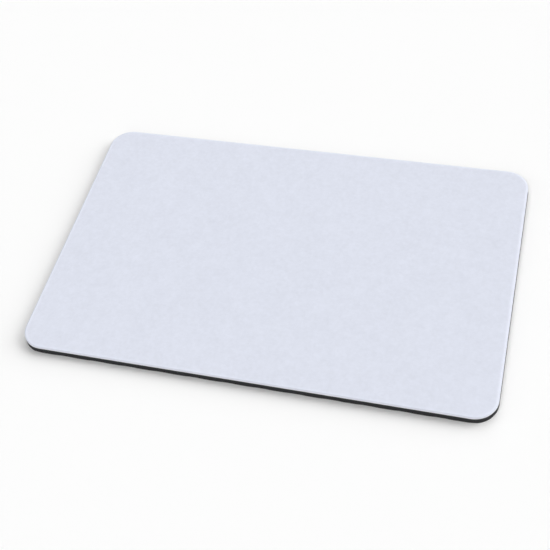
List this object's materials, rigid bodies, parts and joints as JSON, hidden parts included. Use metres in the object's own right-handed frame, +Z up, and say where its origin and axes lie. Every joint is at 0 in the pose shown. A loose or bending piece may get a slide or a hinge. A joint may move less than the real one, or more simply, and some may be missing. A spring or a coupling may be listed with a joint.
{
  "type": "mouse pad",
  "caption": "Thin rectangular pad with rounded corners, a smooth cloth face and an anti-slip foam rubber base, for moving a computer mouse on.",
  "frame": {"origin": "middle of the underside, on the desk", "axes": "+X along the width to the right, +Y along the depth to the back, +Z up out of the cloth face"},
  "size_m": [0.28, 0.18, 0.005],
  "materials": {
    "foam_rubber": "black closed-cell foam rubber with a fine-pored die-cut side and an embossed underside",
    "adhesive": "milky hot-melt film",
    "cloth": "pale blue-white fine polyester weave, matt with a soft sheen"
  },
  "bodies": {
    "root": {"rubber_base": "foam_rubber", "bond_film": "adhesive", "face_cloth": "cloth"}
  },
  "joints": []
}
